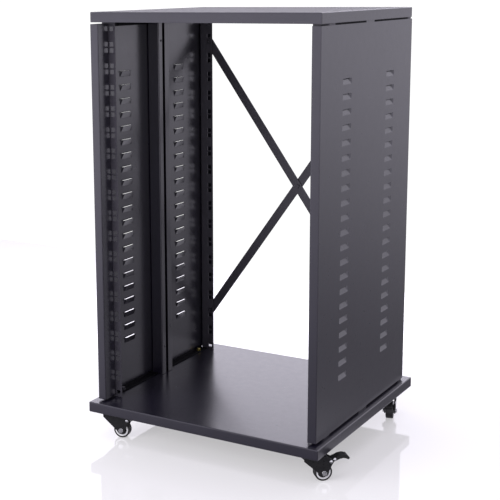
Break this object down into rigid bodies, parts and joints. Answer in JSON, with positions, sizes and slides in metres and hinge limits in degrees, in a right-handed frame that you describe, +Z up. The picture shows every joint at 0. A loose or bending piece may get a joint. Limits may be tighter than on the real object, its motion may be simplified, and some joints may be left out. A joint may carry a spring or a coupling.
{
  "type": "equipment rack case",
  "caption": "Open black steel equipment rack case with louvred side panels, square-hole rails, a rear X brace and braked swivel casters.",
  "frame": {"origin": "On the floor under the middle of the base", "axes": "+X is to the right seen from the open front, +Y is from the front to the back, +Z is up"},
  "size_m": [0.6062, 0.504, 0.9157],
  "materials": {
    "powder_coat": "semi-gloss black powder coat with a fine orange peel",
    "caster_steel": "satin black paint",
    "zinc": "bright zinc plate",
    "tyre": "smooth black tread",
    "wheel_plastic": "light grey moulded plastic with a bright ring",
    "lever_plastic": "matt black moulded plastic"
  },
  "bodies": {
    "frame": {"base_pan": "powder_coat", "top_pan": "powder_coat", "side_panel_left": "powder_coat", "rack_rail_front_left": "powder_coat", "rack_rail_rear_left": "powder_coat", "mid_post_left": "powder_coat", "side_panel_right": "powder_coat", "rack_rail_front_right": "powder_coat", "rack_rail_rear_right": "powder_coat", "mid_post_right": "powder_coat", "brace_bar_falling": "powder_coat", "brace_bar_rising": "powder_coat", "brace_crossing_bolt": "powder_coat", "brace_bolt_upper_left": "powder_coat", "brace_bolt_upper_right": "powder_coat", "brace_bolt_lower_left": "powder_coat", "brace_bolt_lower_right": "powder_coat", "foot_bracket_front_left": "powder_coat", "top_bracket_front_left": "powder_coat", "foot_bracket_front_right": "powder_coat", "top_bracket_front_right": "powder_coat", "foot_bracket_rear_left": "powder_coat", "top_bracket_rear_left": "powder_coat", "foot_bracket_rear_right": "powder_coat", "top_bracket_rear_right": "powder_coat", "caster_front_left_plate": "caster_steel", "caster_front_right_plate": "caster_steel", "caster_rear_left_plate": "caster_steel", "caster_rear_right_plate": "caster_steel"},
    "caster_front_left_swivel": {"caster_front_left_fork": "caster_steel", "caster_front_left_axle_bolt": "zinc", "caster_front_left_brake_pin": "zinc"},
    "caster_front_left_wheel": {"caster_front_left_tyre": "tyre", "caster_front_left_wheel_core": "wheel_plastic"},
    "caster_front_left_brake": {"caster_front_left_brake_lever": "lever_plastic"},
    "caster_front_right_swivel": {"caster_front_right_fork": "caster_steel", "caster_front_right_axle_bolt": "zinc", "caster_front_right_brake_pin": "zinc"},
    "caster_front_right_wheel": {"caster_front_right_tyre": "tyre", "caster_front_right_wheel_core": "wheel_plastic"},
    "caster_front_right_brake": {"caster_front_right_brake_lever": "lever_plastic"},
    "caster_rear_left_swivel": {"caster_rear_left_fork": "caster_steel", "caster_rear_left_axle_bolt": "zinc", "caster_rear_left_brake_pin": "zinc"},
    "caster_rear_left_wheel": {"caster_rear_left_tyre": "tyre", "caster_rear_left_wheel_core": "wheel_plastic"},
    "caster_rear_left_brake": {"caster_rear_left_brake_lever": "lever_plastic"},
    "caster_rear_right_swivel": {"caster_rear_right_fork": "caster_steel", "caster_rear_right_axle_bolt": "zinc", "caster_rear_right_brake_pin": "zinc"},
    "caster_rear_right_wheel": {"caster_rear_right_tyre": "tyre", "caster_rear_right_wheel_core": "wheel_plastic"},
    "caster_rear_right_brake": {"caster_rear_right_brake_lever": "lever_plastic"}
  },
  "joints": [
    {"name": "caster_front_left_swivel_joint", "type": "hinge", "parent": "frame", "child": "caster_front_left_swivel", "pos_m": [-0.238, -0.215, 0.0525], "axis": [0, 0, 1], "continuous": true},
    {"name": "caster_front_left_wheel_joint", "type": "hinge", "parent": "caster_front_left_swivel", "child": "caster_front_left_wheel", "pos_m": [-0.21267, -0.20915, 0.018], "axis": [-0.225, 0.9744, 0], "continuous": true},
    {"name": "caster_front_left_brake_joint", "type": "hinge", "parent": "caster_front_left_swivel", "child": "caster_front_left_brake", "pos_m": [-0.19903, -0.206, 0.041], "axis": [-0.225, 0.9744, 0], "range_deg": [0, 14]},
    {"name": "caster_front_right_swivel_joint", "type": "hinge", "parent": "frame", "child": "caster_front_right_swivel", "pos_m": [0.238, -0.215, 0.0525], "axis": [0, 0, 1], "continuous": true},
    {"name": "caster_front_right_wheel_joint", "type": "hinge", "parent": "caster_front_right_swivel", "child": "caster_front_right_wheel", "pos_m": [0.25732, -0.1976, 0.018], "axis": [-0.6691, 0.7431, 0], "continuous": true},
    {"name": "caster_front_right_brake_joint", "type": "hinge", "parent": "caster_front_right_swivel", "child": "caster_front_right_brake", "pos_m": [0.26773, -0.18823, 0.041], "axis": [-0.6691, 0.7431, 0], "range_deg": [0, 14]},
    {"name": "caster_rear_left_swivel_joint", "type": "hinge", "parent": "frame", "child": "caster_rear_left_swivel", "pos_m": [-0.238, 0.215, 0.0525], "axis": [0, 0, 1], "continuous": true},
    {"name": "caster_rear_left_wheel_joint", "type": "hinge", "parent": "caster_rear_left_swivel", "child": "caster_rear_left_wheel", "pos_m": [-0.25732, 0.1976, 0.018], "axis": [0.6691, -0.7431, 0], "continuous": true},
    {"name": "caster_rear_left_brake_joint", "type": "hinge", "parent": "caster_rear_left_swivel", "child": "caster_rear_left_brake", "pos_m": [-0.26773, 0.18823, 0.041], "axis": [0.6691, -0.7431, 0], "range_deg": [0, 14]},
    {"name": "caster_rear_right_swivel_joint", "type": "hinge", "parent": "frame", "child": "caster_rear_right_swivel", "pos_m": [0.238, 0.215, 0.0525], "axis": [0, 0, 1], "continuous": true},
    {"name": "caster_rear_right_wheel_joint", "type": "hinge", "parent": "caster_rear_right_swivel", "child": "caster_rear_right_wheel", "pos_m": [0.2456, 0.19014, 0.018], "axis": [0.9563, 0.2924, 0], "continuous": true},
    {"name": "caster_rear_right_brake_joint", "type": "hinge", "parent": "caster_rear_right_swivel", "child": "caster_rear_right_brake", "pos_m": [0.24969, 0.17675, 0.041], "axis": [0.9563, 0.2924, 0], "range_deg": [0, 14]}
  ]
}
